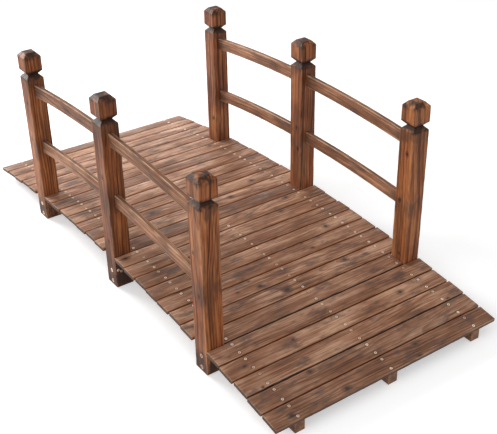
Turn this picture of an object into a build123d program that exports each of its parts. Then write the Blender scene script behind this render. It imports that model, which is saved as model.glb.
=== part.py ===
"""Arched wooden garden footbridge with two curved rails on each side.

X runs along the bridge with its near end at +X, Y runs across it with its left side at -Y, and Z is up.
The origin is on the ground, at the middle of the span and of the width. Lengths are in millimetres.
"""

from build123d import *
from math import cos, radians, sin, sqrt
import os

# Deck boards
board_width = 51.8
board_gap = 4.1  # between two boards, along the walking surface
board_thickness = 10.0
board_edge = 1.5  # round on the long upper edges
board_seat = 0.1  # keeps a flat board just clear of the round top of a stringer
board_stagger = 1.5  # how far a board may be nailed down off centre
stagger_turn = 137.5  # degrees from one board's stagger to the next, so that none repeats
deck_width = 670.0
deck_radius = 4820.0  # of the walking surface, seen from the side
boards_per_bay = 7  # full boards between two posts of one side
boards_past_posts = 5  # full boards between an end post and the end of the deck

# Arched stringers
stringer_thickness = 27.0
stringer_depth = 40.0  # at midspan
stringer_end_height = 27.0
stringer_setback = 2.0  # end face behind the edge of the last board
foot_length = 90.0  # flat part that rests on the ground

# Posts
post_size = 50.0
post_edge = 1.5  # round on the upright edges
post_clearance = 0.3  # to the boards in front and beside
board_overhang = 1.8  # full boards past the outer faces of the posts
groove_depth = 11.0
groove_height = 22.0
knob_height = 41.0
bevel_inset = 10.3
bevel_height = 11.4

# Rails
rail_radius = 3900.0
rail_height = 34.5
rail_thickness = 12.0
rail_bevel = 1.5  # on the long edges
rail_rise = 355.5  # top of the upper rail over the deck, at midspan
rail_spacing = 174.0
shoulder_rise = 20.8  # foot of the finial over the top of the upper rail
mortise_web = 20.0  # wood left between the two mortises of a middle post
mortise_clearance = 0.3
mortise_head = 1.2  # slack over a rail in its mortise


def arc_drop(radius, x):
    """How far an arc of this radius has fallen at a distance x from its crown."""
    return radius - sqrt(radius**2 - x**2)


# Places that follow from the sizes
post_step = boards_per_bay + 1  # boards from one post to the next
end_step = post_step + boards_past_posts  # boards from midspan to the last one
step_angle = (board_width + board_gap) / deck_radius
stringer_radius = deck_radius - board_thickness - board_seat


def board_x(step, depth=0.0, along=0.0):
    """X of a point in a board: depth under its top face, along its width from its middle."""
    angle = step * step_angle
    return (deck_radius - depth) * sin(angle) + along * cos(angle)


deck_end = board_x(end_step, along=board_width / 2)
stringer_end = deck_end - stringer_setback
foot_start = stringer_end - foot_length
stringer_crown = stringer_end_height + arc_drop(stringer_radius, stringer_end)
deck_crown = stringer_crown + board_seat + board_thickness
post_inner = deck_width / 2 - board_overhang - post_size
post_y = post_inner + post_size / 2
stringer_y = post_inner - stringer_thickness / 2
tenon_depth = (post_size - mortise_web) / 2


def post_x(step):
    """Centre of the post that stands behind the board after this step."""
    behind_top = board_x(step + 1, along=-board_width / 2)
    behind_bottom = board_x(step + 1, board_thickness, -board_width / 2)
    return min(behind_top, behind_bottom) - post_clearance - post_size / 2


post_steps = {"far": -post_step, "mid": 0, "near": post_step}
post_places = {place: post_x(step) for place, step in post_steps.items()}
sides = {"left": -1, "right": 1}
rail_tops = {"upper": deck_crown + rail_rise, "lower": deck_crown + rail_rise - rail_spacing}
rail_crown_x = post_places["mid"]


def upright(y):
    """The upright plane along the bridge at this Y, with its own Y upwards."""
    return Plane(origin=(0, y, 0), x_dir=(1, 0, 0), z_dir=(0, -1, 0))


def rail_band(y, start, end, crown, under=0.0, over=0.0):
    """Side view of a rail from start to end, grown under and over it for a mortise."""

    def level(x, lift):
        return (x, crown + lift - arc_drop(rail_radius, x - rail_crown_x))

    middle = (start + end) / 2
    with BuildSketch(upright(y)) as band:
        with BuildLine():
            top = ThreePointArc(level(start, over), level(middle, over), level(end, over))
            foot = -rail_height - under
            bottom = ThreePointArc(level(start, foot), level(middle, foot), level(end, foot))
            Line(top @ 0, bottom @ 0)
            Line(top @ 1, bottom @ 1)
        make_face()
    return band.sketch


os.makedirs("parts", exist_ok=True)


def write(builder, name):
    """Labels a finished piece and writes it."""
    builder.part.label = name
    export_step(builder.part, f"parts/{name}.step")


# Arched stringers, each sawn from one plank, with flat feet that rest on the ground
for name, y in (("left", -stringer_y), ("center", 0), ("right", stringer_y)):
    with BuildPart() as stringer:
        with BuildSketch(upright(y)):
            with BuildLine():
                back = ThreePointArc(
                    (-stringer_end, stringer_end_height),
                    (0, stringer_crown),
                    (stringer_end, stringer_end_height),
                )
                belly = ThreePointArc((-foot_start, 0), (0, stringer_crown - stringer_depth), (foot_start, 0))
                Polyline(back @ 0, (-stringer_end, 0), belly @ 0)
                Polyline(back @ 1, (stringer_end, 0), belly @ 1)
            make_face()
        extrude(amount=stringer_thickness / 2, both=True)
    write(stringer, f"stringer_{name}")

# Deck boards, each flat and tangent to the arch, with the ones in line with posts cut between them
for step in range(-end_step, end_step + 1):
    angle = step * step_angle
    cut = step in post_steps.values()
    length = 2 * (post_inner - post_clearance) if cut else deck_width
    shift = 0 if cut else board_stagger * sin(radians(step * stagger_turn))
    top_face = Plane(
        origin=(board_x(step), shift, deck_crown - arc_drop(deck_radius, board_x(step))),
        x_dir=(cos(angle), 0, -sin(angle)),
        z_dir=(sin(angle), 0, cos(angle)),
    )
    with BuildPart() as board:
        with BuildSketch(top_face):
            Rectangle(board_width, length)
        extrude(amount=-board_thickness)
        walked_on = board.faces().sort_by(Axis(top_face.origin, top_face.z_dir))[-1]
        fillet(walked_on.edges().filter_by(Axis.Y), radius=board_edge)
    write(board, f"board_{step + end_step + 1:02d}")

# Posts with a V groove under a bevelled knob, mortised for the rails on the sides that face them
post_bays = {"far": (1,), "mid": (-1, 1), "near": (-1,)}
for place, x in post_places.items():
    drop = arc_drop(rail_radius, x - rail_crown_x)
    shoulder = rail_tops["upper"] + shoulder_rise - drop
    knob_foot = shoulder + groove_height
    knob_top = knob_foot + knob_height
    for side, sign in sides.items():
        y = sign * post_y
        mortises = []
        for facing in post_bays[place]:
            mouth = x + facing * post_size / 2
            floor = mouth - facing * (tenon_depth + mortise_clearance)
            for crown in rail_tops.values():
                mortises.append(rail_band(y, floor, mouth, crown, mortise_clearance, mortise_head))
        with BuildPart() as post:
            for across, keep in (((1, 0, 0), Mode.ADD), ((0, 1, 0), Mode.INTERSECT)):
                face = Plane(origin=(x, y, 0), x_dir=across, z_dir=Vector(across).cross(Vector(0, 0, 1)))
                with BuildSketch(face):
                    with BuildLine():
                        Polyline(
                            (0, 0),
                            (post_size / 2, 0),
                            (post_size / 2, shoulder),
                            (post_size / 2 - groove_depth, shoulder + groove_height / 2),
                            (post_size / 2, knob_foot),
                            (post_size / 2, knob_top),
                            (post_size / 2 - bevel_inset, knob_top + bevel_height),
                            (0, knob_top + bevel_height),
                        )
                        mirror(about=Plane.YZ)
                    make_face()
                extrude(amount=post_size / 2, both=True, mode=keep)
            with BuildSketch(Plane(origin=(x, y, 0))):
                RectangleRounded(post_size, post_size, post_edge)
            extrude(amount=knob_top + bevel_height, mode=Mode.INTERSECT)
            for mortise in mortises:
                extrude(mortise, rail_thickness / 2 + mortise_clearance, both=True, mode=Mode.SUBTRACT)
        write(post, f"post_{place}_{side}")

# Curved rails with bevelled long edges, let into the posts at both ends
bays = {"far": ("far", "mid"), "near": ("mid", "near")}
for bay, (first, last) in bays.items():
    start = post_places[first] + post_size / 2 - tenon_depth
    end = post_places[last] - post_size / 2 + tenon_depth
    for side, sign in sides.items():
        for level, crown in rail_tops.items():
            outline = rail_band(sign * post_y, start, end, crown)
            with BuildPart() as rail:
                extrude(outline, rail_thickness / 2, both=True)
                chamfer(rail.edges().filter_by(GeomType.CIRCLE), length=rail_bevel)
            write(rail, f"rail_{level}_{bay}_{side}")
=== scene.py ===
"""Dresses the arched garden footbridge: stained, weathered softwood, screws, floor, lamps and camera.

Lengths are in metres, in the part's own frame: X runs along the bridge with its near end at +X, Y across
it with its left side at -Y, and Z is up. Every piece of timber also carries its own directions in the
attribute "local": along the grain, across the width and through the thickness.
"""

import logging
import math
import random
from collections.abc import Sequence
from dataclasses import dataclass, field
from enum import Enum
from functools import partialmethod, reduce
from typing import Any

import bpy
import numpy as np
from bpy.types import ColorRamp, Material, Mesh, Node, NodeSocket, NodeTree, Object
from mathutils import Matrix, Vector


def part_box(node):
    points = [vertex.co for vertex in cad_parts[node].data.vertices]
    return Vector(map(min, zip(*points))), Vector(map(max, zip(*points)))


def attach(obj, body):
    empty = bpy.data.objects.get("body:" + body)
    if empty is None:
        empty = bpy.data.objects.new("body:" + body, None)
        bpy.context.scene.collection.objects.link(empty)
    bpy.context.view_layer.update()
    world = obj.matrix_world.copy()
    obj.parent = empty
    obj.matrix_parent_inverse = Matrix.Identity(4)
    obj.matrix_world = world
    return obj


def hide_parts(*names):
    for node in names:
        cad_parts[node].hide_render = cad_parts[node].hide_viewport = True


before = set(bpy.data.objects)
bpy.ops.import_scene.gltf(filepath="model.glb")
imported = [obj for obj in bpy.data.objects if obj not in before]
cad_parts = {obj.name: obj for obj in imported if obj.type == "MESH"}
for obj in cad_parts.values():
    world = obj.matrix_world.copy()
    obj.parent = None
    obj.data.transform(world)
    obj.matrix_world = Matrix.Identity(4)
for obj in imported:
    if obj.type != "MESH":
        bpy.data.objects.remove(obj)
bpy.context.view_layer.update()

BODY = "root"

Pair = tuple[float, float]
Triple = tuple[float, float, float]
Number = int | float
WHITE = (1.0, 1.0, 1.0)
KNOTS_EACH = 4
BEYOND = 9.0  # farther off than any point of a piece
NO_CRACK = (0.0, 0.0, BEYOND)
FULL_TURN = 6.2832  # in radians
log = logging.getLogger("footbridge")


class Value:
    """A node socket that takes part in arithmetic, where each operation adds its Math node."""

    def __init__(self, maker: "NodeMaker", socket: NodeSocket) -> None:
        """Keeps the socket and the maker of its tree."""
        self.maker = maker
        self.socket = socket

    def math(self, operation: str, *others: "Value | Number") -> "Value":
        """Adds a Math node on this value and any others."""
        return self.maker.add("ShaderNodeMath", (self, *others), operation=operation)

    def after(self, operation: str, first: Number) -> "Value":
        """Adds a Math node on a plain number and this value."""
        return self.maker.add("ShaderNodeMath", (first, self), operation=operation)

    __add__ = __radd__ = partialmethod(math, "ADD")
    __sub__ = partialmethod(math, "SUBTRACT")
    __rsub__ = partialmethod(after, "SUBTRACT")
    __mul__ = __rmul__ = partialmethod(math, "MULTIPLY")
    __truediv__ = partialmethod(math, "DIVIDE")
    __rtruediv__ = partialmethod(after, "DIVIDE")
    __abs__ = partialmethod(math, "ABSOLUTE")
    least = partialmethod(math, "MINIMUM")
    most = partialmethod(math, "MAXIMUM")

    def step(self, low: float, high: float) -> "Value":
        """Rises smoothly from 0 at low to 1 at high, or falls where low is the larger."""
        ends = (low, high, 0.0, 1.0) if low < high else (high, low, 1.0, 0.0)
        return self.maker.add("ShaderNodeMapRange", (self, *ends), interpolation_type="SMOOTHSTEP")


class NodeMaker:
    """Adds nodes to one shader or geometry tree."""

    def __init__(self, tree: NodeTree) -> None:
        """Keeps the tree that is filled."""
        self.tree = tree

    def feed(self, socket: NodeSocket, given: Any) -> None:
        """Links or sets one input.

        Args:
            socket: The input.
            given: A value to link, a plain value to set, or None to leave it alone.
        """
        if isinstance(given, Value):
            self.tree.links.new(given.socket, socket)
        elif given is not None:
            socket.default_value = given

    def add(
        self,
        kind: str,
        inputs: Sequence[Any] | dict[Any, Any] = (),
        output: int | str = 0,
        **settings: Any,
    ) -> Value:
        """Adds one node of any type.

        Args:
            kind: The node's type.
            inputs: What its sockets get, in order or by name.
            output: The output that is returned.
            **settings: Its own settings, which are set first, with a ramp's stops as "stops".

        Returns:
            That output as a value.
        """
        node = self.tree.nodes.new(kind)
        for name, setting in settings.items():
            if name == "stops":
                self._set_stops(node.color_ramp, setting)
            else:
                setattr(node, name, setting)
        pairs = inputs.items() if isinstance(inputs, dict) else enumerate(inputs)
        for key, given in pairs:
            self.feed(node.inputs[key], given)
        return Value(self, node.outputs[output])

    @staticmethod
    def _set_stops(ramp: ColorRamp, colours: Sequence[Triple]) -> None:
        """Spreads colours evenly over a ramp.

        Args:
            ramp: The ramp.
            colours: Its colours, from dark to light.
        """
        while len(ramp.elements) < len(colours):
            ramp.elements.new(0.5)
        for number, (element, colour) in enumerate(zip(ramp.elements, colours)):
            element.position = number / (len(colours) - 1)
            element.color = (*colour, 1.0)

    def attribute(self, name: str) -> Value:
        """The vector that the mesh carries under this name."""
        return self.add("ShaderNodeAttribute", (), "Vector", attribute_name=name)

    def parts(self, vector: Value) -> list[Value]:
        """The three numbers of a vector."""
        sockets = self.add("ShaderNodeSeparateXYZ", (vector,)).socket.node.outputs
        return [Value(self, socket) for socket in sockets]

    def join(self, x: Any, y: Any, z: Any) -> Value:
        """A vector of three numbers."""
        return self.add("ShaderNodeCombineXYZ", (x, y, z))

    def vector(self, operation: str, *operands: Any, output: int = 0) -> Value:
        """Vector Math on these operands."""
        return self.add("ShaderNodeVectorMath", operands, output, operation=operation)

    def noise(self, place: Value, stretch: Triple, detail: float = 2.0, roughness: float = 0.5) -> Value:
        """Noise from 0 to 1.

        Args:
            place: Where it is read.
            stretch: Waves per metre in each direction.
            detail: How many finer layers it has.
            roughness: How strong those layers are.

        Returns:
            The noise.
        """
        scaled = self.vector("MULTIPLY", place, stretch)
        inputs = {"Vector": scaled, "Scale": 1.0, "Detail": detail, "Roughness": roughness}
        return self.add("ShaderNodeTexNoise", inputs)

    def moved(self, geometry: Value, place: Value) -> Value:
        """A geometry with its points set elsewhere."""
        return self.add("GeometryNodeSetPosition", {"Geometry": geometry, "Position": place})

    def marked(self, geometry: Value, name: str, value: Value, domain: str = "POINT") -> Value:
        """A geometry that carries a vector under a name."""
        inputs = {"Geometry": geometry, "Name": name, "Value": value}
        return self.add("GeometryNodeStoreNamedAttribute", inputs, data_type="FLOAT_VECTOR", domain=domain)

    def blend(self, share: Any, under: Any, over: Any, how: str = "MIX") -> Value:
        """Lays one colour over another.

        Args:
            share: How much of the upper colour shows, from 0 to 1.
            under: The lower colour.
            over: The upper colour.
            how: The way of mixing.

        Returns:
            The mixed colour.
        """
        low, high = ((*colour, 1.0) if isinstance(colour, tuple) else colour for colour in (under, over))
        sockets = {0: share, 6: low, 7: high}
        return self.add("ShaderNodeMix", sockets, 2, data_type="RGBA", blend_type=how, clamp_factor=True)


def new_material(name: str) -> tuple[Material, NodeMaker, Node]:
    """Starts a material.

    Args:
        name: Its name.

    Returns:
        The material, a maker for its nodes and its surface shader.
    """
    material = bpy.data.materials.new(name)
    material.use_nodes = True
    shader = material.node_tree.nodes["Principled BSDF"]
    return material, NodeMaker(material.node_tree), shader


def store(mesh: Mesh, name: str, rows: np.ndarray) -> None:
    """Stores one vector for each vertex of a mesh."""
    attribute = mesh.attributes.new(name, "FLOAT_VECTOR", "POINT")
    attribute.data.foreach_set("vector", np.ascontiguousarray(rows, np.float32).ravel())


class Shade(Enum):
    """How timber took the stain: its lightness and how far it has gone grey."""

    LIGHT = (0.13, 0.0)
    TAN = (0.04, 0.15)
    BROWN = (-0.06, 0.2)
    DARK = (-0.15, 0.3)
    GREY = (-0.05, 0.85)
    ASHEN = (-0.02, 0.5)


@dataclass(frozen=True)
class Timber:
    """What the finish of one piece of timber depends on."""

    shade: Triple  # seed, lightness and greyness
    pith: Triple  # where the middle of the tree ran: across, below and its slope
    knots: tuple[Triple, ...]  # along, across and radius of each
    # A crack, and in two deck boards a line of painted shade at a gap's edge
    crack: Triple  # start, end and place across

    @classmethod
    def sawn(
        cls,
        number: int,
        spread: float,
        tone: float = 0.0,
        grey: float = 0.0,
        knots: tuple[Triple, ...] = (),
        crack: Triple = NO_CRACK,
    ) -> "Timber":
        """A piece sawn from some part of a log.

        Args:
            number: Which piece it is.
            spread: How far its middle may lie from the log's.
            tone: Its lightness.
            grey: How grey it is.
            knots: The knots that show in it.
            crack: A dark line along it: a crack, and in two deck boards painted shade at a gap's edge.

        Returns:
            The timber.
        """
        dice = random.Random(number)
        shade = (dice.uniform(1.0, 9.0), tone + dice.uniform(-0.03, 0.03), grey)
        pith = (dice.uniform(-spread, spread), dice.uniform(0.4, 1.2) * spread, dice.uniform(-0.06, 0.06))
        return cls(shade, pith, knots, crack)

    def mark(self, mesh: Mesh) -> None:
        """Stores what a wood finish reads for the whole piece.

        Args:
            mesh: The mesh.
        """
        held = {"shade": self.shade, "pith": self.pith, "crack": self.crack}
        nowhere = (BEYOND, BEYOND, 0.01)
        for number in range(KNOTS_EACH):
            held[f"knot_{number}"] = self.knots[number] if number < len(self.knots) else nowhere
        for name, value in held.items():
            store(mesh, name, np.tile(value, (len(mesh.vertices), 1)))


@dataclass(frozen=True)
class ScorchAndFootShade:
    """Burnt bands round a post, and painted shade at its foot, measured along it from the foot of the
    finial.
    """

    groove: float
    groove_reach: float
    bevel: float
    strength: float
    # Where the painted shade at the foot begins
    foot: float


@dataclass(frozen=True)
class ScrewStains:
    """Dark rings that screws leave in the boards."""

    rows: Triple
    from_middle: float
    radius: float


@dataclass(frozen=True)
class WoodFinish:
    """Stained softwood: growth rings, fibres, stains, knots and rubbed arrises that double as painted
    highlights, with painted shade on the boards' sides, undersides and ends, where rails meet posts and at
    the posts' feet.
    """

    name: str
    pale: Triple
    body: Triple
    deep: Triple
    char: Triple
    # Colour of smoky patches and of the bands of char and painted shade
    smoke_and_shade: Triple
    # Colour of worn bare arrises, also used as a painted highlight along the edges
    bare_and_highlight: Triple
    ring_pitch: float
    ring_contrast: float
    streak_contrast: float
    fibre_contrast: float
    cloud_contrast: float
    # How strongly the smoke colour shows, in patches and in the bands of char and painted shade
    stain: float
    # How strongly the arrises show worn wood and a painted highlight
    rubbed_and_highlight: float
    roughness: float
    half: Triple  # half the piece along, across and through
    gloss: float = 0.3
    smoke_stretch: Triple = (15.0, 34.0, 34.0)
    smoke_from: float = 0.48
    # Bands across the grain, each a place along and a reach: char with painted shade where rails meet
    # posts, painted shade at a post's foot
    smudges_and_shade: tuple[Pair, ...] = ()
    scorch_and_foot_shade: ScorchAndFootShade | None = None
    screws: ScrewStains | None = None
    ashen: Triple = (0.64, 0.72, 0.82)
    # Painted shade on the long sides, underside and top rim of the boards, deepest in the gaps, and dark
    # end grain with painted shade on the sawn ends
    side_shade_and_end_grain: float = 0.0
    pooled: Triple = (0.27, 0.060, 0.003)
    flank_shade: Triple = (0.070, 0.026, 0.012)
    end_grain_and_shade: Triple = (0.032, 0.015, 0.009)
    open_end: float = BEYOND  # how far along the outer sides of the end boards lie

    def material(self) -> Material:
        """Builds the finish.

        Returns:
            Its material.
        """
        material, maker, shader = new_material(self.name)
        wood = WoodPattern(self, maker)
        push, cores = wood.knots()
        late = wood.rings(push)
        streak = wood.noise((2.2, 110.0, 110.0), 4.0, 0.65) - 0.5
        fibre = wood.noise((7.0, 290.0, 290.0), 3.0, 0.7) - 0.5
        cloud = wood.noise((7.0, 18.0, 18.0), 3.0, 0.6) - 0.5
        light = 0.56 + wood.tone - late * self.ring_contrast
        light = light + streak * self.streak_contrast + fibre * self.fibre_contrast
        light = light + cloud * self.cloud_contrast
        colour = maker.add("ShaderNodeValToRGB", (light,), stops=(self.deep, self.body, self.pale))
        ashen = maker.blend(1.0, colour, self.ashen, "MULTIPLY")
        colour = maker.blend(wood.grey * cloud.step(-0.15, 0.1), colour, ashen)
        # Smoky patches, and bands of char and painted shade
        colour = maker.blend(wood.smoke_and_shade() * self.stain, colour, self.smoke_and_shade)
        dark = wood.crack().most(cores)
        if self.screws:
            dark = dark.most(wood.screw_rings())
        # Burnt bands, and the painted shade at a post's foot
        if self.scorch_and_foot_shade:
            dark = dark.most(wood.scorched_and_foot_shade())
        colour = maker.blend(dark, colour, self.char)
        # Pale arrises: worn bare wood, and a painted highlight along the edges
        rub_and_highlight = wood.noise((22.0, 60.0, 60.0)).step(0.3, 0.62)
        colour = maker.blend(wood.arris() * rub_and_highlight * self.rubbed_and_highlight, colour, self.bare_and_highlight)
        # Painted shade: sides and underside take a dark colour below pooled stain near the top of each gap;
        # ends take end grain with painted shade
        if self.side_shade_and_end_grain:
            side = maker.blend(wood.sunk().most(dark), self.pooled, self.flank_shade)
            colour = maker.blend(wood.flank_shade() * self.side_shade_and_end_grain, colour, side)
            colour = maker.blend(wood.cut_end() * self.side_shade_and_end_grain, colour, self.end_grain_and_shade)
        maker.feed(shader.inputs["Base Color"], colour)
        maker.feed(shader.inputs["Roughness"], self.roughness + late * 0.12 - cloud * 0.3)
        shader.inputs["Specular IOR Level"].default_value = self.gloss
        height = fibre * 0.6 - late * 0.5 - dark * 0.4 + streak * 0.5
        bump = maker.add("ShaderNodeBump", {"Strength": 0.6, "Distance": 0.0008, "Height": height})
        maker.feed(shader.inputs["Normal"], bump)
        return material


class WoodPattern:
    """The patterns of a wood finish, read from what the meshes carry. Darkness runs from 0 to 1."""

    def __init__(self, finish: WoodFinish, maker: NodeMaker) -> None:
        """Reads the places and numbers that every pattern needs.

        Args:
            finish: The finish.
            maker: Adds the nodes of its material.
        """
        self.finish = finish
        self.maker = maker
        self.place = maker.add("ShaderNodeTexCoord", (), "Object")
        local = maker.attribute("local")
        self.along, self.across, self.through = maker.parts(local)
        self.seed, self.tone, self.grey = maker.parts(maker.attribute("shade"))
        away = maker.vector("SCALE", (3.7, 1.9, 2.3), None, None, self.seed)
        self.shifted = maker.vector("ADD", local, away)

    def noise(self, stretch: Triple, detail: float = 2.0, roughness: float = 0.5) -> Value:
        """Noise that no two pieces share, stretched along, across and through the timber."""
        return self.maker.noise(self.shifted, stretch, detail, roughness)

    def knots(self) -> tuple[Value | float, Value | float]:
        """How far knots push the grain aside, and how dark their cores are.

        Returns:
            The push across the grain in metres, and the darkness.
        """
        warp = (self.noise((60.0, 60.0, 60.0), 1.0) - 0.5) * 0.006
        push: Value | float = 0.0
        cores: Value | float = 0.0
        for number in range(KNOTS_EACH):
            along, across, radius = self.maker.parts(self.maker.attribute(f"knot_{number}"))
            side = (self.across - across + warp) / radius
            reach = (self.along - along + warp) / (radius * 1.35)
            square = side * side + reach * reach
            push = push - side * radius * (square * -0.16).math("EXPONENT") * 0.75
            cores = (square.step(5.0, 0.5) * 0.5).most(square.step(1.5, 0.1) * 0.92).most(cores)
        return push, cores

    def rings(self, push: Value | float) -> Value:
        """The dark late wood of rings round a pith that runs slightly askew.

        Args:
            push: How far knots push the grain aside.

        Returns:
            The darkness.
        """
        pith_across, pith_under, pith_slope = self.maker.parts(self.maker.attribute("pith"))
        wander = self.noise((2.6, 9.0, 9.0)) - 0.5
        side = self.across - pith_across + push
        depth = self.through + pith_under + self.along * pith_slope + wander * 0.05
        count = (side * side + depth * depth).math("SQRT") / self.finish.ring_pitch
        ring = self.maker.join(count * 0.45, self.seed, 0.0)
        uneven = self.maker.noise(ring, (1.0, 1.0, 1.0))
        phase = (count + uneven * 2.2).math("FRACT")
        weight = self.maker.noise(ring, (0.9, 2.0, 1.0), 1.0).step(0.25, 0.7)
        return phase.step(0.45, 0.95) * phase.step(1.0, 0.96) * (weight * 0.8 + 0.2)

    def smoke_and_shade(self) -> Value:
        """Smoky patches, and bands across the grain: char with painted shade where rails and posts meet,
        and painted shade at a post's foot.

        Returns:
            The darkness.
        """
        finish = self.finish
        smoke_and_shade_share = self.noise(finish.smoke_stretch, 4.0, 0.62).step(finish.smoke_from, 0.7)
        # Bands of char and painted shade at the joints, and of painted shade at a post's foot
        if finish.smudges_and_shade:
            uneven = self.noise((12.0, 45.0, 45.0), 3.0, 0.6)
            along = self.along + (uneven - 0.5) * 0.12
            smudge_and_shade_bands = [abs(along - place).step(reach, reach * 0.3) for place, reach in finish.smudges_and_shade]
            smoke_and_shade_share = smoke_and_shade_share.most(reduce(Value.most, smudge_and_shade_bands) * uneven.step(0.3, 0.6))
        return smoke_and_shade_share

    def arris(self) -> Value:
        """1 on the arrises and 0 on the faces.

        Returns:
            The share.
        """
        places = (self.along, self.across, self.through)
        gaps = [half - abs(place) for half, place in zip(self.finish.half, places)]
        nearest = gaps[0].most(gaps[1]).least(gaps[1].most(gaps[2])).least(gaps[0].most(gaps[2]))
        return nearest.step(0.0028, 0.0008)

    def crack(self) -> Value:
        """A crack along the grain in the pieces that have one, and in two deck boards a line of painted
        shade at a gap's edge.

        Returns:
            The darkness.
        """
        start, end, place = self.maker.parts(self.maker.attribute("crack"))
        wander = (self.noise((9.0, 0.0, 0.0), 3.0) - 0.5) * 0.006
        line = abs(self.across - place + wander).step(0.0014, 0.0004)
        return line * (self.along - start).step(0.0, 0.04) * (end - self.along).step(0.0, 0.04)

    def screw_rings(self) -> Value:
        """Dark rings round the screws of a board.

        Returns:
            The darkness.
        """
        screws = self.finish.screws
        row = self.maker.parts(self.place)[1]
        side = abs(self.across) - screws.from_middle
        offs = [row - place for place in screws.rows]
        nearest = reduce(Value.least, [(off * off + side * side).math("SQRT") for off in offs])
        return nearest.step(screws.radius * 1.75, screws.radius * 0.9) * 0.5

    def scorched_and_foot_shade(self) -> Value:
        """Burnt all through in the groove and in patches on its shoulders and on the bevel, with patches of
        painted shade at the foot.

        Returns:
            The darkness.
        """
        scorch_and_foot_shade = self.finish.scorch_and_foot_shade
        depth = abs(self.along - scorch_and_foot_shade.groove)
        reach = scorch_and_foot_shade.groove_reach
        groove = depth.step(reach * 0.6, reach * 0.25)
        shoulder = depth.step(reach, reach * 0.6)
        bevel = self.along.step(scorch_and_foot_shade.bevel - 0.014, scorch_and_foot_shade.bevel + 0.004)
        # Painted shade at the foot, under the deck
        foot = self.along.step(scorch_and_foot_shade.foot, scorch_and_foot_shade.foot - 0.04) * 0.8
        patchy = self.noise((28.0, 40.0, 40.0), 3.0).step(0.38, 0.56)
        return groove.most(shoulder.most(bevel).most(foot) * patchy) * scorch_and_foot_shade.strength

    def flank_shade(self) -> Value:
        """Where painted shade goes: 1 on the long sides, the underside and the top face's rim, and 0 on the
        rest of it and the ends.

        Returns:
            The share.
        """
        length, width, depth = self.finish.half
        below = self.through.step(depth - 0.0004, depth - 0.0022)
        patchy = self.noise((7.0, 15.0, 0.0)).step(0.38, 0.62)
        rim = abs(self.across).step(width - 0.0026, width - 0.0008) * (patchy * 0.65 + 0.2)
        return below.most(rim) * abs(self.along).step(length - 0.0004, length - 0.0012)

    def sunk(self) -> Value:
        """Where painted shade takes over from pooled stain: 1 deep in a gap and on the outer sides of the
        end boards, and 0 near the top of a gap.

        Returns:
            The share.
        """
        top, open_end = self.finish.half[2], self.finish.open_end
        outer = abs(self.maker.parts(self.place)[0]).step(open_end, open_end + 0.001)
        return self.through.step(top - 0.0026, top - 0.0056).most(outer)

    def cut_end(self) -> Value:
        """1 on the sawn ends, which take end grain and painted shade."""
        length = self.finish.half[0]
        return abs(self.along).step(length - 0.0009, length - 0.0001)


@dataclass(frozen=True)
class SteelFinish:
    """Bright zinc plate, dulled with age and darker at the bottom of its cross recess."""

    name: str = "zinc_plate"
    colour: Triple = (1.0, 0.79, 0.61)
    dull: Triple = (0.60, 0.37, 0.25)
    recess_dark: Triple = (0.050, 0.024, 0.014)
    roughness: float = 0.34
    metallic: float = 0.3

    def material(self) -> Material:
        """Builds the finish.

        Returns:
            Its material.
        """
        material, maker, shader = new_material(self.name)
        place = maker.add("ShaderNodeTexCoord", (), "Object")
        cloud = maker.noise(place, (260.0, 260.0, 260.0))
        tarnish = maker.parts(maker.attribute("tarnish"))[0]
        recess = maker.parts(maker.attribute("recess"))[0]
        share = (cloud.step(0.5, 0.8) * 0.5 + tarnish).least(1.0)
        plate = maker.blend(share, self.colour, self.dull)
        maker.feed(shader.inputs["Base Color"], maker.blend(recess, plate, self.recess_dark))
        maker.feed(shader.inputs["Roughness"], self.roughness + cloud * 0.2)
        shader.inputs["Metallic"].default_value = self.metallic
        return material


def seen_ray(maker: NodeMaker) -> Value:
    """1 for rays that show a thing, directly, in a gloss or through it, and 0 for those that light it.

    Args:
        maker: Adds the nodes.

    Returns:
        The share.
    """
    ray = maker.add("ShaderNodeLightPath", (), "Is Camera Ray")
    sockets = ray.socket.node.outputs
    glossy, through = (Value(maker, sockets[name]) for name in ("Is Glossy Ray", "Is Transmission Ray"))
    return ray.most(glossy).most(through)


@dataclass(frozen=True)
class FloorFinish:
    """Pale matt floor that the camera sees as white where no shadow falls."""

    name: str = "pale_floor"
    colour: Triple = (0.86, 0.86, 0.86)
    roughness: float = 0.9
    lift: float = 0.40
    fade: Pair = (1.0, 2.6)

    def material(self) -> Material:
        """Builds the finish.

        Returns:
            Its material.
        """
        material, maker, shader = new_material(self.name)
        place = maker.add("ShaderNodeTexCoord", (), "Object")
        cloud = maker.noise(place, (1.5, 1.5, 1.5))
        tint = maker.blend(cloud, self.colour, tuple(0.98 * part for part in self.colour))
        maker.feed(shader.inputs["Base Color"], tint)
        shader.inputs["Roughness"].default_value = self.roughness
        shader.inputs["Specular IOR Level"].default_value = 0.0
        seen = seen_ray(maker)
        lift, away = (
            maker.add("ShaderNodeEmission", {"Color": (*WHITE, 1.0), "Strength": strength})
            for strength in (seen * self.lift, 1.0)
        )
        far = maker.vector("LENGTH", place, output=1).step(*self.fade)
        near = maker.add("ShaderNodeAddShader", (Value(maker, shader.outputs[0]), lift))
        whole = maker.add("ShaderNodeMixShader", (far * seen, near, away))
        maker.feed(material.node_tree.nodes["Material Output"].inputs["Surface"], whole)
        return material


def put_in_scene(name: str, content: Any) -> Object:
    """Links a mesh, lamp or camera to the scene under a name.

    Args:
        name: The object's name.
        content: What it holds.

    Returns:
        The object.
    """
    holder = bpy.data.objects.new(name, content)
    bpy.context.scene.collection.objects.link(holder)
    return holder


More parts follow.
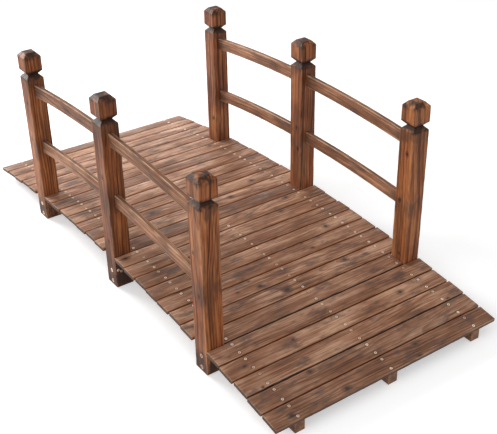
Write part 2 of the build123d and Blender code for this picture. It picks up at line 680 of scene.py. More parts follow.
def settle(piece: Object) -> None:
    """Turns a piece with modifiers into a plain mesh.

    Args:
        piece: The piece, whose mesh is replaced.
    """
    graph = bpy.context.evaluated_depsgraph_get()
    shaped = piece.evaluated_get(graph)
    mesh = bpy.data.meshes.new_from_object(shaped, preserve_all_data_layers=True, depsgraph=graph)
    piece.modifiers.clear()
    piece.data = mesh
    mesh.name = piece.name


def hand_over(piece: Object, node: str) -> None:
    """Gives a finished piece its body and hides the part that it replaces.

    Args:
        piece: The piece.
        node: The part that it replaces.
    """
    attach(piece, BODY)
    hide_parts(node)


def vertex_places(mesh: Mesh) -> np.ndarray:
    """Reads where the vertices of a mesh are.

    Args:
        mesh: The mesh.

    Returns:
        Every vertex, one a row.
    """
    rows = np.empty(len(mesh.vertices) * 3, np.float32)
    mesh.vertices.foreach_get("co", rows)
    return rows.reshape(-1, 3)


def loft(name: str, rings: Sequence[np.ndarray]) -> Mesh:
    """Joins closed rings of equally many points into a capped solid.

    Args:
        name: The mesh's name.
        rings: The rings in order, each anticlockwise seen from the next one's side.

    Returns:
        The mesh.
    """
    count = len(rings[0])
    last = (len(rings) - 1) * count
    faces = [tuple(reversed(range(count)))]
    for base in range(0, last, count):
        for point in range(count):
            after = (point + 1) % count
            faces.append((base + point, base + after, base + count + after, base + count + point))
    faces.append(tuple(range(last, last + count)))
    mesh = bpy.data.meshes.new(name)
    mesh.from_pydata(np.vstack(rings).tolist(), [], faces)
    mesh.validate()
    return mesh


def rounded_rectangle(half_width: float, half_height: float, radius: float, steps: int = 3) -> np.ndarray:
    """Points round a rectangle with rounded corners, anticlockwise.

    Args:
        half_width: Half its first side.
        half_height: Half its second side.
        radius: Of the corners.
        steps: Straight runs in each corner.

    Returns:
        The points, one a row.
    """
    points = []
    for corner, (right, up) in enumerate(((1, 1), (-1, 1), (-1, -1), (1, -1))):
        for step in range(steps + 1):
            turn = math.radians(90.0 * (corner + step / steps))
            x = right * (half_width - radius) + radius * math.cos(turn)
            y = up * (half_height - radius) + radius * math.sin(turn)
            points.append((x, y))
    return np.array(points)


class TreeKind(Enum):
    """The socket types of a geometry tree's named inputs."""

    LENGTH = "NodeSocketFloat"
    COUNT = "NodeSocketInt"
    VECTOR = "NodeSocketVector"
    MATERIAL = "NodeSocketMaterial"
    THING = "NodeSocketObject"


def start_tree(name: str, inputs: dict[str, TreeKind]) -> tuple[NodeMaker, dict[str, Value]]:
    """Starts a geometry tree.

    Args:
        name: The tree's name.
        inputs: Its named inputs after the geometry.

    Returns:
        A maker for its nodes, and its inputs as values with the geometry under "Geometry".
    """
    tree = bpy.data.node_groups.new(name, "GeometryNodeTree")
    for way in ("OUTPUT", "INPUT"):
        tree.interface.new_socket("Geometry", in_out=way, socket_type="NodeSocketGeometry")
    for label, kind in inputs.items():
        tree.interface.new_socket(label, in_out="INPUT", socket_type=kind.value)
    maker = NodeMaker(tree)
    entry = tree.nodes.new("NodeGroupInput")
    return maker, {label: Value(maker, entry.outputs[label]) for label in ("Geometry", *inputs)}


def end_tree(maker: NodeMaker, geometry: Value, material: Value) -> NodeTree:
    """Ends a geometry tree in real geometry with its material.

    Args:
        maker: The tree's maker.
        geometry: What the tree makes.
        material: Its material.

    Returns:
        The tree.
    """
    real = maker.add("GeometryNodeRealizeInstances", {"Geometry": geometry})
    dressed = maker.add("GeometryNodeSetMaterial", {"Geometry": real, "Material": material})
    leave = maker.tree.nodes.new("NodeGroupOutput")
    maker.feed(leave.inputs["Geometry"], dressed)
    return maker.tree


def grow(piece: Object, tree: NodeTree, values: dict[str, Any]) -> None:
    """Runs a geometry tree on a piece and keeps the result as a plain mesh.

    Args:
        piece: The piece that carries the tree.
        tree: The tree.
        values: Its named inputs.
    """
    modifier = piece.modifiers.new(tree.name, "NODES")
    modifier.node_group = tree
    for item in tree.interface.items_tree:
        if item.in_out == "INPUT" and item.name in values:
            modifier[item.identifier] = values[item.name]
    settle(piece)


class SawnTimber:
    """A geometry tree that saws one straight or slightly bent piece and lays it in place."""

    lengths: tuple[str, ...] = ("Length", "Width", "Thickness", "Arris", "Wear", "Bend", "Seed")
    end_ease: float = 0.35  # how far an end is eased, as a share of the arris
    end_reach: float = 0.0001  # what still counts as the end

    def __init__(self) -> None:
        """Builds the tree."""
        kinds = dict.fromkeys(self.lengths, TreeKind.LENGTH) | {
            "Stations": TreeKind.COUNT,
            "Place": TreeKind.VECTOR,
            "Turn": TreeKind.VECTOR,
            "Material": TreeKind.MATERIAL,
        }
        maker, given = start_tree("sawn_timber", kinds)
        half = given["Length"] * 0.5
        # A bar along X with rounded arrises
        ends = {"Start": (-1.0, 0.0, 0.0), "End": (1.0, 0.0, 0.0)}
        line = maker.add("GeometryNodeCurvePrimitiveLine", ends)
        line = maker.add("GeometryNodeResampleCurve", {"Curve": line, "Count": given["Stations"]})
        share = (maker.add("GeometryNodeInputIndex") - 1.0) / (given["Stations"] - 3.0)
        reach = ((share * 2.0 - 1.0) * (half - given["Arris"])).least(half).most(half * -1.0)
        line = maker.moved(line, maker.join(reach, 0.0, 0.0))
        sides = {"Width": given["Width"], "Height": given["Thickness"]}
        outline = maker.add("GeometryNodeCurvePrimitiveQuadrilateral", sides)
        corners = {"Curve": outline, "Radius": given["Arris"], "Count": 3}
        outline = maker.add("GeometryNodeFilletCurve", corners, mode="POLY")
        swept = {"Curve": line, "Profile Curve": outline, "Fill Caps": True}
        solid = maker.add("GeometryNodeCurveToMesh", swept)
        place = maker.add("GeometryNodeInputPosition")
        solid = maker.marked(solid, "local", place)
        # Ends eased and arrises worn unevenly
        along, across, through = maker.parts(place)
        away = maker.vector("SCALE", (5.1, 2.7, 3.9), None, None, given["Seed"])
        spot = maker.vector("ADD", place, away)
        at_end = abs(along).math("GREATER_THAN", half - self.end_reach)
        chip = maker.noise(spot, (55.0, 90.0, 90.0), 3.0, 0.6).step(0.42, 0.8) * given["Wear"]
        drift = (maker.noise(spot, (6.0, 0.0, 0.0), 1.0) - 0.5) * given["Wear"]
        cut = at_end * given["Arris"] * self.end_ease + chip
        tall = 1.0 - cut / given["Thickness"] * 2.0
        wide = 1.0 - cut / given["Width"] * 2.0
        solid = maker.moved(solid, maker.join(along, across * wide + drift, through * tall))
        # Bent and laid in place
        lift = along * along * given["Bend"] * -0.5
        spread = along * (through * given["Bend"] + 1.0)
        solid = maker.moved(solid, maker.join(spread, across, through + lift))
        laid = {"Geometry": solid, "Translation": given["Place"], "Rotation": given["Turn"]}
        self.tree = end_tree(maker, maker.add("GeometryNodeTransform", laid), given["Material"])

    def saw(self, name: str, timber: Timber, values: dict[str, Any]) -> Object:
        """Saws one piece and lays it in place.

        Args:
            name: The piece's name.
            timber: What it is sawn from.
            values: The tree's named inputs, apart from the seed.

        Returns:
            The piece.
        """
        piece = put_in_scene(name, bpy.data.meshes.new("stock"))
        grow(piece, self.tree, {"Seed": timber.shade[0], **values})
        timber.mark(piece.data)
        return piece


@dataclass(frozen=True)
class Arch:
    """The sizes that the deck, posts, rails and stringers share, as in the part."""

    board_width: float = 0.0518
    board_gap: float = 0.0041
    board_thickness: float = 0.010
    board_seat: float = 0.0001
    deck_radius: float = 4.820
    deck_width: float = 0.670
    deck_crown: float = 0.09555
    boards_per_bay: int = 7
    boards_past_posts: int = 5
    clearance: float = 0.0003
    post_size: float = 0.050
    post_inner: float = 0.2832
    post_centres: Triple = (-0.441985, 0.004585, 0.450086)
    stringer_thickness: float = 0.027
    screw_offset: float = 0.016  # from the middle of a board
    rail_radius: float = 3.900
    rail_height: float = 0.0345
    rail_thickness: float = 0.012
    rail_tops: Pair = (0.45105, 0.27705)
    tenon: float = 0.015

    @property
    def post_step(self) -> int:
        """Boards from one post to the next."""
        return self.boards_per_bay + 1

    @property
    def steps(self) -> range:
        """The boards from the far one to the near one, counted from midspan."""
        end = self.post_step + self.boards_past_posts
        return range(-end, end + 1)

    @property
    def stringer_rows(self) -> Triple:
        """The Y of each stringer's middle."""
        outer = self.post_inner - self.stringer_thickness / 2
        return (-outer, 0.0, outer)

    def angle(self, step: int) -> float:
        """How far the board at this step is turned."""
        return step * (self.board_width + self.board_gap) / self.deck_radius

    def on_board(self, step: int, along: float, y: float, depth: float = 0.0) -> Vector:
        """A point in a board.

        Args:
            step: The board, counted from midspan.
            along: From its middle, along the bridge.
            y: Across the bridge.
            depth: Under its top face.

        Returns:
            The point.
        """
        angle = self.angle(step)
        reach = self.deck_radius - depth
        x = reach * math.sin(angle) + along * math.cos(angle)
        z = self.deck_crown - self.deck_radius + reach * math.cos(angle) - along * math.sin(angle)
        return Vector((x, y, z))


ARCH = Arch()
PLACES = ("far", "mid", "near")
SIDES = {"left": -1, "right": 1}
LIGHT, TAN, BROWN, DARK, GREY, ASHEN = Shade


@dataclass
class Deck:
    """The boards that are walked on."""

    arris: float = 0.0013
    wear: float = 0.0006
    width_play: float = 0.0004
    stagger: float = 0.0015
    stagger_turn: float = 137.5
    log_size: float = 0.05
    knot_margin: float = 0.002
    stations: int = 60
    shades: tuple[Shade, ...] = (
        GREY, LIGHT, LIGHT, TAN, TAN, LIGHT, LIGHT, ASHEN, LIGHT, TAN, TAN, TAN, LIGHT, GREY,
        LIGHT, TAN, BROWN, TAN, TAN, TAN, TAN, TAN, BROWN, TAN, TAN, ASHEN, DARK,
    )
    # X, Y and radius of each knot
    knots: tuple[Triple, ...] = (
        (0.561, -0.285, 0.0037), (0.55, -0.139, 0.005), (0.554, 0.197, 0.0056), (0.651, -0.168, 0.005),
        (0.635, 0.285, 0.0031), (0.635, -0.287, 0.0025), (0.732, -0.28, 0.0056), (0.735, -0.127, 0.0063),
        (0.744, 0.086, 0.0044), (0.71, 0.102, 0.005), (0.347, -0.089, 0.0056), (0.315, -0.103, 0.0037),
        (0.338, -0.151, 0.0037), (0.396, -0.041, 0.0075), (0.376, 0.163, 0.0063), (0.256, 0.112, 0.0037),
        (0.288, 0.126, 0.0037), (0.228, 0.219, 0.0063), (0.041, 0.221, 0.0063), (0.094, 0.165, 0.0056),
        (0.049, -0.311, 0.0063), (-0.059, 0.095, 0.0063), (-0.106, 0.202, 0.0063), (-0.116, -0.135, 0.0099),
        (-0.26, 0.097, 0.0056), (-0.408, 0.247, 0.0075), (-0.635, 0.177, 0.0063),
    )
    # Start, end and place across of the crack in the board at a step; the lines at steps 8 and 11 lie on
    # the board's edge and are painted shade in the gap
    cracks_and_gap_shade: dict[int, Triple] = field(
        default_factory=lambda: {
            -4: (-0.335, -0.12, 0.010),
            3: (0.05, 0.335, -0.012),
            7: (-0.335, 0.06, 0.004),
            # Lines on a board's edge: painted shade in the gap, not cracks
            8: (-0.4, 0.4, -0.0257),
            11: (-0.4, 0.4, -0.0257),
        }
    )
    finish: WoodFinish = WoodFinish(
        name="deck_stain",
        pale=(0.62, 0.36, 0.225),
        body=(0.292, 0.129, 0.067),
        deep=(0.085, 0.032, 0.016),
        char=(0.036, 0.023, 0.019),
        smoke_and_shade=(0.085, 0.050, 0.040),
        bare_and_highlight=(0.66, 0.42, 0.27),
        ring_pitch=0.0065,
        ring_contrast=0.3,
        streak_contrast=0.8,
        fibre_contrast=1.3,
        cloud_contrast=1.6,
        stain=0.78,
        rubbed_and_highlight=0.5,
        roughness=0.58,
        half=(ARCH.deck_width / 2, ARCH.board_width / 2, ARCH.board_thickness / 2),
        # Painted shade on the board sides and underside, and end grain with painted shade on the ends
        side_shade_and_end_grain=0.85,
        open_end=0.745,
        screws=ScrewStains(ARCH.stringer_rows, ARCH.screw_offset, 0.004),
    )

    def build(self, sawn_timber: SawnTimber) -> None:
        """Lays every board.

        Args:
            sawn_timber: Saws the boards.
        """
        sizes = {
            "Width": ARCH.board_width - self.width_play,
            "Thickness": ARCH.board_thickness,
            "Arris": self.arris,
            "Wear": self.wear,
            "Stations": self.stations,
            "Material": self.finish.material(),
        }
        for number, (step, shade) in enumerate(zip(ARCH.steps, self.shades, strict=True), 1):
            cut = step in (-ARCH.post_step, 0, ARCH.post_step)
            length = 2 * (ARCH.post_inner - ARCH.clearance) if cut else ARCH.deck_width
            shift = 0.0 if cut else self.stagger * math.sin(math.radians(step * self.stagger_turn))
            crack = self.cracks_and_gap_shade.get(step, NO_CRACK)
            timber = Timber.sawn(number, self.log_size, *shade.value, self._knots_in(step, shift), crack)
            place = ARCH.on_board(step, 0.0, shift, ARCH.board_thickness / 2)
            turn = Vector((ARCH.angle(step), 0.0, math.pi / 2))
            laid = {"Length": length, "Place": place, "Turn": turn}
            piece = sawn_timber.saw(f"plank_{number:02d}", timber, sizes | laid)
            hand_over(piece, f"board_{number:02d}")
        log.info("deck: %d boards", len(self.shades))

    def _knots_in(self, step: int, shift: float) -> tuple[Triple, ...]:
        """The knots of one board.

        Args:
            step: The board, counted from midspan.
            shift: How far it lies off centre.

        Returns:
            Its knots, in its own directions.
        """
        middle = ARCH.on_board(step, 0.0, 0.0).x
        reach = ARCH.board_width / 2 + self.knot_margin
        near = [knot for knot in self.knots if abs(knot[0] - middle) < reach]
        return tuple((y - shift, middle - x, radius) for x, y, radius in near[:KNOTS_EACH])


@dataclass
class Posts:
    """The six posts with their finials."""

    groove_depth: float = 0.011
    groove_height: float = 0.022
    knob_height: float = 0.041
    bevel_inset: float = 0.0103
    bevel_height: float = 0.0114
    arris: float = 0.0016
    edge_rise: float = 0.0008
    edge_cut: float = 0.0003
    foot_cut: float = 0.001
    crown_cut: float = 0.0010
    crown_swell: float = 0.0007
    head_slack: float = 0.0012
    overcut: float = 0.002
    log_size: float = 0.04
    first_number: int = 101
    shades: tuple[Shade, ...] = (TAN, BROWN, DARK, BROWN, TAN, TAN)
    finish: WoodFinish = WoodFinish(
        name="post_stain",
        pale=(0.58, 0.245, 0.092),
        body=(0.295, 0.090, 0.029),
        deep=(0.062, 0.017, 0.007),
        char=(0.022, 0.010, 0.006),
        smoke_and_shade=(0.078, 0.034, 0.019),
        bare_and_highlight=(0.58, 0.34, 0.19),
        ring_pitch=0.0085,
        ring_contrast=0.55,
        streak_contrast=1.2,
        fibre_contrast=1.3,
        cloud_contrast=1.2,
        stain=0.75,
        rubbed_and_highlight=0.35,
        roughness=0.5,
        gloss=0.2,
        half=(BEYOND, ARCH.post_size / 2, ARCH.post_size / 2),
        smoke_stretch=(6.0, 42.0, 42.0),
        smoke_from=0.42,
        # Bands at the rail joints are char with painted shade; the band at the foot under the deck is
        # painted shade
        smudges_and_shade=((-0.002, 0.032), (-0.212, 0.050), (-0.43, 0.075)),
        # Its last number is where the painted shade at the foot begins
        scorch_and_foot_shade=ScorchAndFootShade(groove_height / 2, 0.017, groove_height + knob_height, 0.9, -0.375),
    )

    def build(self) -> None:
        """Makes every post."""
        material = self.finish.material()
        stands = [(place, x, side) for place, x in zip(PLACES, ARCH.post_centres) for side in SIDES]
        shaded = zip(stands, self.shades, strict=True)
        for number, ((place, x, side), shade) in enumerate(shaded, self.first_number):
            node = f"post_{place}_{side}"
            low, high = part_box(node)
            y = (low.y + high.y) / 2
            shoulder = high.z - self.bevel_height - self.knob_height - self.groove_height
            piece = put_in_scene(f"timber_{node}", self._mesh(node, x, y, shoulder))
            self._cut_mortises(piece, place, x, y)
            mesh = piece.data
            rows = vertex_places(mesh) - (x, y, shoulder)
            store(mesh, "local", rows[:, [2, 0, 1]])
            Timber.sawn(number, self.log_size, *shade.value, self._knots_in(number)).mark(mesh)
            mesh.materials.append(material)
            hand_over(piece, node)
        log.info("posts: %d", len(stands))

    @staticmethod
    def _knots_in(number: int) -> tuple[Triple, ...]:
        """Two or three knots for a post.

        Args:
            number: Which piece it is.

        Returns:
            The knots.
        """
        dice = random.Random(number * 7)
        places = [dice.uniform(-0.40, -0.05) for _ in range(dice.choice((2, 3)))]
        return tuple((place, dice.uniform(-0.012, 0.012), dice.uniform(0.003, 0.0045)) for place in places)

    def _cut_mortises(self, piece: Object, place: str, x: float, y: float) -> None:
        """Cuts the holes that the rails enter, along the rails' own arc.

        Args:
            piece: The post.
            place: Which post it is.
            x: Its middle along the bridge.
            y: Its middle across it.
        """
        half = ARCH.post_size / 2
        wide = ARCH.rail_thickness / 2 + ARCH.clearance
        for facing in {"far": (1,), "mid": (-1, 1), "near": (-1,)}[place]:
            for top in ARCH.rail_tops:
                rings = []
                for reach in (half - ARCH.tenon - ARCH.clearance, half + self.overcut):
                    at = x + facing * reach
                    level = top - ARCH.rail_radius
                    level += math.sqrt(ARCH.rail_radius**2 - (at - ARCH.post_centres[1]) ** 2)
                    low, high = level - ARCH.rail_height - ARCH.clearance, level + self.head_slack
                    corners = ((-wide, low), (wide, low), (wide, high), (-wide, high))
                    rings.append(np.array([(at, y + across, z) for across, z in corners]))
                cutter = put_in_scene("cutter", loft("cutter", rings[::facing]))
                hole = piece.modifiers.new("mortise", "BOOLEAN")
                hole.operation = "DIFFERENCE"
                hole.solver = "EXACT"
                hole.object = cutter
                settle(piece)
                bpy.data.objects.remove(cutter)

    def _mesh(self, name: str, x: float, y: float, shoulder: float) -> Mesh:
        """One post as a stack of rounded squares.

        Args:
            name: The mesh's name.
            x: The post's middle along the bridge.
            y: The post's middle across it.
            shoulder: Height of the foot of the finial.

        Returns:
            The mesh.
        """
        half = ARCH.post_size / 2
        knob = shoulder + self.groove_height
        top = knob + self.knob_height
        rise, cut = self.edge_rise, self.edge_cut
        crown, narrow = top + self.bevel_height, half - self.bevel_inset
        levels = [
            (0.0, half - self.foot_cut),
            (self.foot_cut, half),
            *((shoulder * share, half) for share in np.linspace(0.02, 0.998, 40)),
            (shoulder + rise / 2, half - cut),
            (shoulder + self.groove_height / 2, half - self.groove_depth),
            (knob - rise / 2, half - cut),
            (knob + rise, half),
            (knob + self.knob_height / 2, half),
            (top - rise, half),
            (top + rise / 2, half - cut),
            (crown - rise, narrow + self.crown_swell),
            (crown, narrow - self.crown_cut),
        ]
        dice = random.Random(name)
        rings = []
        for height, size in levels:
            corner = min(self.arris, size * 0.2) * dice.uniform(0.8, 1.5)
            flat = rounded_rectangle(size, size, corner) + (x, y)
            rings.append(np.column_stack([flat, np.full(len(flat), height)]))
        return loft(name, rings)


@dataclass
class Rails:
    """The eight curved rails."""

    arris: float = 0.0016
    wear: float = 0.0004
    end_play: float = 0.0006
    stations: int = 40
    shade: Pair = (-0.02, 0.15)  # lightness and greyness
    log_size: float = 0.03
    first_number: int = 201
    finish: WoodFinish = WoodFinish(
        name="rail_stain",
        pale=(0.56, 0.29, 0.165),
        body=(0.262, 0.113, 0.057),
        deep=(0.075, 0.034, 0.020),
        char=(0.026, 0.016, 0.012),
        smoke_and_shade=(0.085, 0.050, 0.038),
        bare_and_highlight=(0.62, 0.41, 0.27),
        ring_pitch=0.007,
        ring_contrast=0.3,
        streak_contrast=1.1,
        fibre_contrast=1.2,
        cloud_contrast=1.5,
        stain=0.75,
        rubbed_and_highlight=0.75,
        roughness=0.56,
        gloss=0.2,
        smoke_stretch=(11.0, 40.0, 40.0),
        # Bands at the rail ends: char and painted shade next to the posts
        smudges_and_shade=((-0.205, 0.045), (0.205, 0.045)),
        half=(BEYOND, ARCH.rail_thickness / 2, ARCH.rail_height / 2),
    )

    def build(self, sawn_timber: SawnTimber) -> None:
        """Bends every rail between its posts.

        Args:
            sawn_timber: Saws the rails.
        """
        sizes = {
            "Width": ARCH.rail_thickness,
            "Thickness": ARCH.rail_height,
            "Arris": self.arris,
            "Wear": self.wear,
            "Bend": 1.0 / ARCH.rail_radius,
            "Stations": self.stations,
            "Material": self.finish.material(),
        }
        into_post = ARCH.post_size / 2 - ARCH.tenon
        reach = ARCH.rail_radius - ARCH.rail_height / 2
        crown_x = ARCH.post_centres[1]
        number = self.first_number
        for bay, first, last in zip(("far", "near"), ARCH.post_centres, ARCH.post_centres[1:]):
            start, end = first + into_post, last - into_post
            tilt = math.asin(((start + end) / 2 - crown_x) / ARCH.rail_radius)
            length = (end - start) / math.cos(tilt) - self.end_play
            x = crown_x + reach * math.sin(tilt)
            for level, top in zip(("upper", "lower"), ARCH.rail_tops):
                z = top - ARCH.rail_radius + reach * math.cos(tilt)
                for side in SIDES:
                    node = f"rail_{level}_{bay}_{side}"
                    low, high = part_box(node)
                    place = Vector((x, (low.y + high.y) / 2, z))
                    laid = {"Length": length, "Place": place, "Turn": Vector((0.0, tilt, 0.0))}
                    timber = Timber.sawn(number, self.log_size, *self.shade)
                    hand_over(sawn_timber.saw(f"bent_{node}", timber, sizes | laid), node)
                    number += 1
        log.info("rails: %d", number - self.first_number)


@dataclass
class Stringers:
    """The three arched stringers."""

    end: float = 0.7471
    foot: float = 0.090
    depth: float = 0.040
    middle_height: float = 0.04
    arris: float = 0.0012
    foot_step: float = 0.012
    foot_stations: int = 8
    stations: int = 90
    shade: Pair = (0.0, 0.2)  # lightness and greyness
    log_size: float = 0.05
    first_number: int = 300
    finish: WoodFinish = WoodFinish(
        name="stringer_stain",
        pale=(0.38, 0.19, 0.10),
        body=(0.20, 0.086, 0.043),
        deep=(0.06, 0.024, 0.013),
        char=(0.024, 0.015, 0.012),
        smoke_and_shade=(0.07, 0.038, 0.028),
        bare_and_highlight=(0.40, 0.23, 0.14),
        ring_pitch=0.006,
        ring_contrast=0.4,
        streak_contrast=1.4,
        fibre_contrast=1.0,
        cloud_contrast=0.8,
        stain=0.6,
        rubbed_and_highlight=0.4,
        roughness=0.6,
        half=(end, ARCH.stringer_thickness / 2, BEYOND),
    )

    def build(self) -> None:
        """Saws every stringer."""
        material = self.finish.material()
        named = zip(("left", "center", "right"), ARCH.stringer_rows)
        for number, (name, y) in enumerate(named, self.first_number):
            node = f"stringer_{name}"
            mesh = self._mesh(node, y)
            store(mesh, "local", vertex_places(mesh) - (0.0, y, self.middle_height))
            Timber.sawn(number, self.log_size, *self.shade).mark(mesh)
            mesh.materials.append(material)
            hand_over(put_in_scene(f"sawn_{node}", mesh), node)
        log.info("stringers: %d", len(ARCH.stringer_rows))

    def _mesh(self, name: str, y: float) -> Mesh:
        """One stringer as rings along the bridge.

        Args:
            name: The mesh's name.
            y: Its middle across the bridge.

        Returns:
            The mesh.
        """
        under_deck = ARCH.board_thickness + ARCH.board_seat
        radius = ARCH.deck_radius - under_deck
        crown = ARCH.deck_crown - under_deck
        foot_start = self.end - self.foot
        rise = crown - self.depth
        belly = (foot_start**2 + rise**2) / (2 * rise)
        foot = np.linspace(foot_start + self.foot_step, self.end, self.foot_stations)
        middle = np.linspace(-foot_start, foot_start, self.stations)
        rings = []
        for x in np.concatenate([-foot[::-1], middle, foot]):
            top = crown - radius + math.sqrt(radius**2 - x**2)
            arched = abs(x) <= foot_start
            bottom = max(0.0, rise - belly + math.sqrt(belly**2 - x**2)) if arched else 0.0
            flat = rounded_rectangle(ARCH.stringer_thickness / 2, (top - bottom) / 2, self.arris)
            rings.append(np.column_stack([np.full(len(flat), x), flat + (y, (top + bottom) / 2)]))
        return loft(name, rings)


@dataclass
class Screws:
    """The screws in the boards and posts."""

    radius: float = 0.0037
    sides: int = 12
    rim_depth: float = 0.0006
    rim_slope: float = 0.93
    lip: float = 0.0001
    recess_depth: float = 0.0012
    recess_slope: float = 0.9
    proud: float = 0.0003
    jitter: float = 0.0008
    place_seed: int = 7
    turn_seed: int = 11
    post_head: float = 1.6
    post_heights: Pair = (0.012, 0.045)
    post_shift: float = 0.002
    toe_screws: tuple[Pair, ...] = ((-0.3258, 0.0540), (-0.3171, 0.0479))

    def _head(self, material: Material) -> Object:
        """One countersunk head with a cross recess, seen from outside along +Z.

        Args:
            material: Its finish.

        Returns:
            The head, as a pattern for the tree.
        """
        turns = np.radians(np.arange(self.sides) * 30.0 + 15.0)
        rim = np.column_stack([np.cos(turns), np.sin(turns)]) * self.radius
        arm, width = self.radius * 0.6, self.radius * 0.2
        arms = np.array(((arm, width), (width, width), (width, arm)))
        quarter = np.array(((0.0, 1.0), (-1.0, 0.0)))
        cross = np.vstack([arms @ np.linalg.matrix_power(quarter, number) for number in range(4)])
        levels = (
            (rim, -self.rim_depth),
            (rim * self.rim_slope, 0.0),
            (cross, self.lip),
            (cross * self.recess_slope, -self.recess_depth),
        )
        rings = [np.column_stack([flat, np.full(self.sides, height)]) for flat, height in levels]
        mesh = loft("screw_head", rings)
        # Darker at the bottom of the cross recess
        recess_dark_share = np.zeros((len(levels), self.sides, 3))
        recess_dark_share[-1, :, 0] = 1.0
        store(mesh, "recess", recess_dark_share)
        mesh.materials.append(material)
        return put_in_scene("screw_head", mesh)

    @staticmethod
    def _tree() -> NodeTree:
        """A geometry tree that sets a head on every point, facing outwards at a random turn.

        Returns:
            The tree.
        """
        inputs = {"Head": TreeKind.THING, "Seed": TreeKind.COUNT, "Material": TreeKind.MATERIAL}
        maker, given = start_tree("screws", inputs)
        facing, size = (
            maker.add("GeometryNodeInputNamedAttribute", {"Name": name}, data_type="FLOAT_VECTOR")
            for name in ("facing", "size")
        )
        turned = maker.add("FunctionNodeAlignRotationToVector", {"Vector": facing}, axis="Z")
        drawn = {"Min": 0.0, "Max": FULL_TURN, "Seed": given["Seed"]}
        spin = maker.add("FunctionNodeRandomValue", drawn, 1, data_type="FLOAT")
        twist = maker.add("FunctionNodeAxisAngleToRotation", {"Axis": (0.0, 0.0, 1.0), "Angle": spin})
        turns = {"Rotation": turned, "Rotate By": twist}
        both = maker.add("FunctionNodeRotateRotation", turns, rotation_space="LOCAL")
        head = maker.add("GeometryNodeObjectInfo", {"Object": given["Head"]}, "Geometry")
        heads = {"Points": given["Geometry"], "Instance": head, "Rotation": both, "Scale": size}
        placed = maker.add("GeometryNodeInstanceOnPoints", heads)
        age = maker.add("FunctionNodeRandomValue", {"Seed": given["Seed"] + 1}, 1, data_type="FLOAT")
        aged = maker.marked(placed, "tarnish", maker.join(age * age, 0.0, 0.0), "INSTANCE")
        return end_tree(maker, aged, given["Material"])

    def _spots(self) -> list[tuple[Vector, Triple, Triple]]:
        """Where the screws go.

        Returns:
            For each screw its point, the way it faces and its size as shares of a board screw's.
        """
        plain, large = (1.0, 1.0, 1.0), (self.post_head, self.post_head, 1.0)
        dice = random.Random(self.place_seed)
        spots = []
        for step in ARCH.steps:
            angle = ARCH.angle(step)
            facing = (math.sin(angle), 0.0, math.cos(angle))
            for row in ARCH.stringer_rows:
                for along in (-ARCH.screw_offset, ARCH.screw_offset):
                    off = [dice.uniform(-self.jitter, self.jitter) for _ in range(2)]
                    place = ARCH.on_board(step, along + off[0], row + off[1], -self.proud)
                    spots.append((place, facing, plain))
        outer = ARCH.post_inner + ARCH.post_size + self.proud
        for x in ARCH.post_centres:
            for sign in SIDES.values():
                for height in self.post_heights:
                    place = Vector((x + self.post_shift, sign * outer, height))
                    spots.append((place, (0.0, sign, 0.0), large))
        front = ARCH.post_centres[1] + ARCH.post_size / 2 + self.proud
        return spots + [(Vector((front, y, z)), (1.0, 0.0, 0.0), plain) for y, z in self.toe_screws]

    def build(self) -> None:
        """Sets every screw."""
        material = SteelFinish().material()
        points, facings, sizes = zip(*self._spots())
        mesh = bpy.data.meshes.new("screws")
        mesh.from_pydata([tuple(point) for point in points], [], [])
        store(mesh, "facing", np.array(facings))
        store(mesh, "size", np.array(sizes))
        piece = put_in_scene("screws", mesh)
        head = self._head(material)
        grow(piece, self._tree(), {"Head": head, "Seed": self.turn_seed, "Material": material})
        bpy.data.objects.remove(head)
        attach(piece, BODY)
        log.info("screws: %d", len(points))


@dataclass(frozen=True)
class Lamp:
    """A soft round lamp: where it hangs, its width and its power in watts."""

    name: str
    place: Triple
    size: float
    power: float


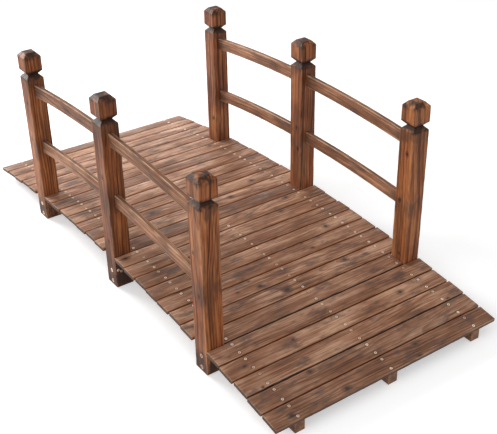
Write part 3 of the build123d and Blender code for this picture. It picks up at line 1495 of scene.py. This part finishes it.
@dataclass
class Studio:
    """Floor, lamps, sky and camera."""

    azimuth: float = 55.648
    elevation: float = 30.729
    roll: float = -1.143
    eye: Triple = (1.9414, -1.2100, 1.4451)
    focal_pixels: float = 939.92
    image_width: int = 497
    sensor: float = 36.0
    sky: float = 0.52
    aim: Triple = (0.0, 0.0, 0.2)
    floor_half: float = 14.0
    lamps: tuple[Lamp, ...] = (
        Lamp("key", (0.6, -3.4, 2.0), 2.2, 36.0),
        Lamp("back", (-2.7, -0.9, 1.35), 1.3, 84.0),
        Lamp("front", (3.4, -0.9, 1.3), 1.8, 18.0),
        Lamp("sheen", (-2.8, 1.27, 0.55), 1.0, 9.0),
    )

    def build(self) -> None:
        """Sets up the studio."""
        self._floor()
        self._sky()
        for lamp in self.lamps:
            self._hang(lamp)
        self._camera()
        log.info("studio is set")

    def _floor(self) -> None:
        """A wide floor under the feet."""
        mesh = bpy.data.meshes.new("floor")
        half = self.floor_half
        corners = [(-half, -half, 0.0), (half, -half, 0.0), (half, half, 0.0), (-half, half, 0.0)]
        mesh.from_pydata(corners, [], [range(4)])
        mesh.materials.append(FloorFinish().material())
        put_in_scene("floor", mesh)

    def _sky(self) -> None:
        """A white surround that lights at a plain level."""
        world = bpy.data.worlds.new("surround")
        world.use_nodes = True
        bpy.context.scene.world = world
        maker = NodeMaker(world.node_tree)
        strength = seen_ray(maker) * (1.0 - self.sky) + self.sky
        background = world.node_tree.nodes["Background"]
        background.inputs["Color"].default_value = (*WHITE, 1.0)
        maker.feed(background.inputs["Strength"], strength)

    def _hang(self, lamp: Lamp) -> None:
        """Hangs a lamp that faces the middle of the bridge.

        Args:
            lamp: The lamp.
        """
        light = bpy.data.lights.new(lamp.name, "AREA")
        light.shape = "DISK"
        light.size = lamp.size
        light.energy = lamp.power
        holder = put_in_scene(lamp.name, light)
        holder.location = lamp.place
        ahead = Vector(self.aim) - Vector(lamp.place)
        holder.rotation_euler = ahead.to_track_quat("-Z", "Y").to_euler()

    def _camera(self) -> None:
        """The photograph's viewpoint."""
        camera = bpy.data.cameras.new("camera")
        camera.sensor_width = self.sensor
        camera.lens = self.sensor * self.focal_pixels / self.image_width
        turns = ((self.azimuth, "Z"), (90.0 - self.elevation, "X"), (self.roll, "Z"))
        matrix = Matrix.Translation(self.eye)
        for angle, axis in turns:
            matrix = matrix @ Matrix.Rotation(math.radians(angle), 4, axis)
        holder = put_in_scene("camera", camera)
        holder.matrix_world = matrix
        bpy.context.scene.camera = holder


def main() -> None:
    """Builds the dressed footbridge and its studio."""
    logging.basicConfig(level=logging.INFO, format="%(name)s: %(message)s")
    bpy.context.scene.view_settings.view_transform = "Standard"
    Studio().build()
    sawn_timber = SawnTimber()
    Deck().build(sawn_timber)
    Posts().build()
    Rails().build(sawn_timber)
    Stringers().build()
    Screws().build()


if __name__ == "__main__":
    main()
